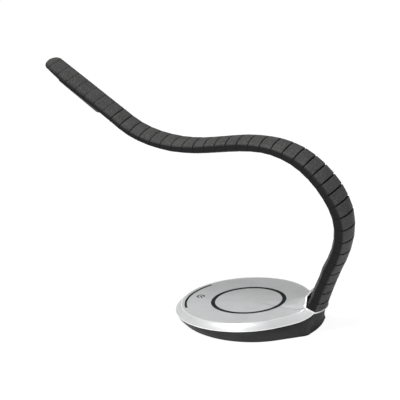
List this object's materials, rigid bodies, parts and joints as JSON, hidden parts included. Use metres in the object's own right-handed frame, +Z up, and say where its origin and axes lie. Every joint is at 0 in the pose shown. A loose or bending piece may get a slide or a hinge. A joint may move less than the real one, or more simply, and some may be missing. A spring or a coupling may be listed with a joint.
{
  "type": "gooseneck desk lamp",
  "caption": "Desk lamp with a round weighted base, a tapering arm of hinged vertebrae that bends in one plane, and a flat light head at its end.",
  "frame": {"origin": "centre of the foot pad's resting face", "axes": "+Z up, +X from the base's centre towards the arm's root, the arm bends in the XZ plane"},
  "size_m": [0.3328, 0.1452, 0.2511],
  "materials": {
    "silver_cap": "satin",
    "black_shell": "satin",
    "dark_inlay": "gloss",
    "foot_rubber": "matt",
    "ballast_steel": "rough",
    "grey_foam": "matt",
    "board": "satin",
    "bright_steel": "bright",
    "lead_sheath": "matt",
    "bright_trim": "polished",
    "arm_black": "satin",
    "bar_black": "satin",
    "lens_white": "satin",
    "led_yellow": "satin",
    "spreader_alu": "satin"
  },
  "bodies": {
    "base": {"top_shell": "silver_cap", "lower_shell": "black_shell", "ring_inlay": "dark_inlay", "slider_inlay": "dark_inlay", "symbol_inlay": "dark_inlay", "foot_pad": "foot_rubber", "ballast_plate": "ballast_steel", "board_pad": "grey_foam", "control_board": "board", "touch_board": "board", "power_inlet": "bright_steel", "base_lead": "lead_sheath", "inlet_lead": "lead_sheath", "case_screws": "bright_steel", "anchor_screws": "bright_steel", "collar_trim": "bright_trim", "arm_anchor": "arm_black"},
    "link_01": {"link_01": "arm_black"},
    "link_02": {"link_02": "arm_black"},
    "link_03": {"link_03": "arm_black"},
    "link_04": {"link_04": "arm_black"},
    "link_05": {"link_05": "arm_black"},
    "link_06": {"link_06": "arm_black"},
    "link_07": {"link_07": "arm_black"},
    "link_08": {"link_08": "arm_black"},
    "link_09": {"link_09": "arm_black"},
    "link_10": {"link_10": "arm_black"},
    "link_11": {"link_11": "arm_black"},
    "link_12": {"link_12": "arm_black"},
    "link_13": {"link_13": "arm_black"},
    "link_14": {"link_14": "arm_black"},
    "link_15": {"link_15": "arm_black"},
    "link_16": {"link_16": "arm_black"},
    "link_17": {"link_17": "arm_black"},
    "link_18": {"link_18": "arm_black"},
    "link_19": {"link_19": "arm_black"},
    "link_20": {"link_20": "arm_black"},
    "link_21": {"link_21": "arm_black"},
    "link_22": {"link_22": "arm_black"},
    "link_23": {"link_23": "arm_black"},
    "link_24": {"link_24": "arm_black"},
    "link_25": {"link_25": "arm_black"},
    "link_26": {"link_26": "arm_black"},
    "link_27": {"link_27": "arm_black"},
    "link_28": {"link_28": "arm_black"},
    "link_29": {"link_29": "arm_black"},
    "link_30": {"link_30": "arm_black"},
    "link_31": {"link_31": "arm_black"},
    "head": {"head_housing": "arm_black", "tip_cap": "arm_black", "light_frame": "bar_black", "diffuser_lens": "lens_white", "led_board": "board", "led_packages": "led_yellow", "heat_spreader": "spreader_alu", "head_lead": "lead_sheath"}
  },
  "joints": [
    {"name": "hinge_01", "type": "hinge", "parent": "base", "child": "link_01", "pos_m": [0.0747, 0, 0.0339], "axis": [0, 1, 0], "range_deg": [-1, 6]},
    {"name": "hinge_02", "type": "hinge", "parent": "link_01", "child": "link_02", "pos_m": [0.0788, 0, 0.04518], "axis": [0, 1, 0], "range_deg": [-1, 6]},
    {"name": "hinge_03", "type": "hinge", "parent": "link_02", "child": "link_03", "pos_m": [0.08325, 0, 0.05632], "axis": [0, 1, 0], "range_deg": [-1, 6]},
    {"name": "hinge_04", "type": "hinge", "parent": "link_03", "child": "link_04", "pos_m": [0.08837, 0, 0.06718], "axis": [0, 1, 0], "range_deg": [-1, 6]},
    {"name": "hinge_05", "type": "hinge", "parent": "link_04", "child": "link_05", "pos_m": [0.0932, 0, 0.07816], "axis": [0, 1, 0], "range_deg": [-1, 6]},
    {"name": "hinge_06", "type": "hinge", "parent": "link_05", "child": "link_06", "pos_m": [0.09676, 0, 0.08962], "axis": [0, 1, 0], "range_deg": [-1, 6]},
    {"name": "hinge_07", "type": "hinge", "parent": "link_06", "child": "link_07", "pos_m": [0.09853, 0, 0.10149], "axis": [0, 1, 0], "range_deg": [-1, 6]},
    {"name": "hinge_08", "type": "hinge", "parent": "link_07", "child": "link_08", "pos_m": [0.09801, 0, 0.11348], "axis": [0, 1, 0], "range_deg": [-1, 6]},
    {"name": "hinge_09", "type": "hinge", "parent": "link_08", "child": "link_09", "pos_m": [0.09526, 0, 0.12516], "axis": [0, 1, 0], "range_deg": [-1.5, 8]},
    {"name": "hinge_10", "type": "hinge", "parent": "link_09", "child": "link_10", "pos_m": [0.09043, 0, 0.13614], "axis": [0, 1, 0], "range_deg": [-1.5, 8]},
    {"name": "hinge_11", "type": "hinge", "parent": "link_10", "child": "link_11", "pos_m": [0.08411, 0, 0.14634], "axis": [0, 1, 0], "range_deg": [-1.5, 8]},
    {"name": "hinge_12", "type": "hinge", "parent": "link_11", "child": "link_12", "pos_m": [0.07685, 0, 0.1559], "axis": [0, 1, 0], "range_deg": [-1.5, 8]},
    {"name": "hinge_13", "type": "hinge", "parent": "link_12", "child": "link_13", "pos_m": [0.06859, 0, 0.1646], "axis": [0, 1, 0], "range_deg": [-1.5, 8]},
    {"name": "hinge_14", "type": "hinge", "parent": "link_13", "child": "link_14", "pos_m": [0.05933, 0, 0.17223], "axis": [0, 1, 0], "range_deg": [-1.5, 8]},
    {"name": "hinge_15", "type": "hinge", "parent": "link_14", "child": "link_15", "pos_m": [0.04912, 0, 0.17853], "axis": [0, 1, 0], "range_deg": [-1.5, 8]},
    {"name": "hinge_16", "type": "hinge", "parent": "link_15", "child": "link_16", "pos_m": [0.03807, 0, 0.18322], "axis": [0, 1, 0], "range_deg": [-1.5, 8]},
    {"name": "hinge_17", "type": "hinge", "parent": "link_16", "child": "link_17", "pos_m": [0.0264, 0, 0.18602], "axis": [0, 1, 0], "range_deg": [-2, 8]},
    {"name": "hinge_18", "type": "hinge", "parent": "link_17", "child": "link_18", "pos_m": [0.01445, 0, 0.18712], "axis": [0, 1, 0], "range_deg": [-2, 8]},
    {"name": "hinge_19", "type": "hinge", "parent": "link_18", "child": "link_19", "pos_m": [0.00246, 0, 0.18676], "axis": [0, 1, 0], "range_deg": [-2, 8]},
    {"name": "hinge_20", "type": "hinge", "parent": "link_19", "child": "link_20", "pos_m": [-0.00946, 0, 0.1854], "axis": [0, 1, 0], "range_deg": [-2, 8]},
    {"name": "hinge_21", "type": "hinge", "parent": "link_20", "child": "link_21", "pos_m": [-0.02132, 0, 0.18352], "axis": [0, 1, 0], "range_deg": [-2, 8]},
    {"name": "hinge_22", "type": "hinge", "parent": "link_21", "child": "link_22", "pos_m": [-0.03313, 0, 0.18138], "axis": [0, 1, 0], "range_deg": [-2, 8]},
    {"name": "hinge_23", "type": "hinge", "parent": "link_22", "child": "link_23", "pos_m": [-0.04493, 0, 0.17925], "axis": [0, 1, 0], "range_deg": [-2, 8]},
    {"name": "hinge_24", "type": "hinge", "parent": "link_23", "child": "link_24", "pos_m": [-0.05681, 0, 0.17753], "axis": [0, 1, 0], "range_deg": [-2, 8]},
    {"name": "hinge_25", "type": "hinge", "parent": "link_24", "child": "link_25", "pos_m": [-0.06878, 0, 0.17664], "axis": [0, 1, 0], "range_deg": [-3, 6]},
    {"name": "hinge_26", "type": "hinge", "parent": "link_25", "child": "link_26", "pos_m": [-0.08078, 0, 0.17659], "axis": [0, 1, 0], "range_deg": [-3, 6]},
    {"name": "hinge_27", "type": "hinge", "parent": "link_26", "child": "link_27", "pos_m": [-0.09275, 0, 0.17737], "axis": [0, 1, 0], "range_deg": [-3, 6]},
    {"name": "hinge_28", "type": "hinge", "parent": "link_27", "child": "link_28", "pos_m": [-0.10464, 0, 0.17899], "axis": [0, 1, 0], "range_deg": [-3, 6]},
    {"name": "hinge_29", "type": "hinge", "parent": "link_28", "child": "link_29", "pos_m": [-0.11634, 0, 0.18167], "axis": [0, 1, 0], "range_deg": [-3, 6]},
    {"name": "hinge_30", "type": "hinge", "parent": "link_29", "child": "link_30", "pos_m": [-0.12767, 0, 0.18563], "axis": [0, 1, 0], "range_deg": [-3, 6]},
    {"name": "hinge_31", "type": "hinge", "parent": "link_30", "child": "link_31", "pos_m": [-0.13838, 0, 0.19103], "axis": [0, 1, 0], "range_deg": [-3, 6]},
    {"name": "hinge_32", "type": "hinge", "parent": "link_31", "child": "head", "pos_m": [-0.14859, 0, 0.19734], "axis": [0, 1, 0], "range_deg": [-3, 6]}
  ],
  "couplings": [
    {"joint": "hinge_02", "follows": "hinge_01", "ratio": 1},
    {"joint": "hinge_03", "follows": "hinge_01", "ratio": 1},
    {"joint": "hinge_04", "follows": "hinge_01", "ratio": 1},
    {"joint": "hinge_05", "follows": "hinge_01", "ratio": 1},
    {"joint": "hinge_06", "follows": "hinge_01", "ratio": 1},
    {"joint": "hinge_07", "follows": "hinge_01", "ratio": 1},
    {"joint": "hinge_08", "follows": "hinge_01", "ratio": 1},
    {"joint": "hinge_10", "follows": "hinge_09", "ratio": 1},
    {"joint": "hinge_11", "follows": "hinge_09", "ratio": 1},
    {"joint": "hinge_12", "follows": "hinge_09", "ratio": 1},
    {"joint": "hinge_13", "follows": "hinge_09", "ratio": 1},
    {"joint": "hinge_14", "follows": "hinge_09", "ratio": 1},
    {"joint": "hinge_15", "follows": "hinge_09", "ratio": 1},
    {"joint": "hinge_16", "follows": "hinge_09", "ratio": 1},
    {"joint": "hinge_18", "follows": "hinge_17", "ratio": 1},
    {"joint": "hinge_19", "follows": "hinge_17", "ratio": 1},
    {"joint": "hinge_20", "follows": "hinge_17", "ratio": 1},
    {"joint": "hinge_21", "follows": "hinge_17", "ratio": 1},
    {"joint": "hinge_22", "follows": "hinge_17", "ratio": 1},
    {"joint": "hinge_23", "follows": "hinge_17", "ratio": 1},
    {"joint": "hinge_24", "follows": "hinge_17", "ratio": 1},
    {"joint": "hinge_26", "follows": "hinge_25", "ratio": 1},
    {"joint": "hinge_27", "follows": "hinge_25", "ratio": 1},
    {"joint": "hinge_28", "follows": "hinge_25", "ratio": 1},
    {"joint": "hinge_29", "follows": "hinge_25", "ratio": 1},
    {"joint": "hinge_30", "follows": "hinge_25", "ratio": 1},
    {"joint": "hinge_31", "follows": "hinge_25", "ratio": 1},
    {"joint": "hinge_32", "follows": "hinge_25", "ratio": 1}
  ]
}
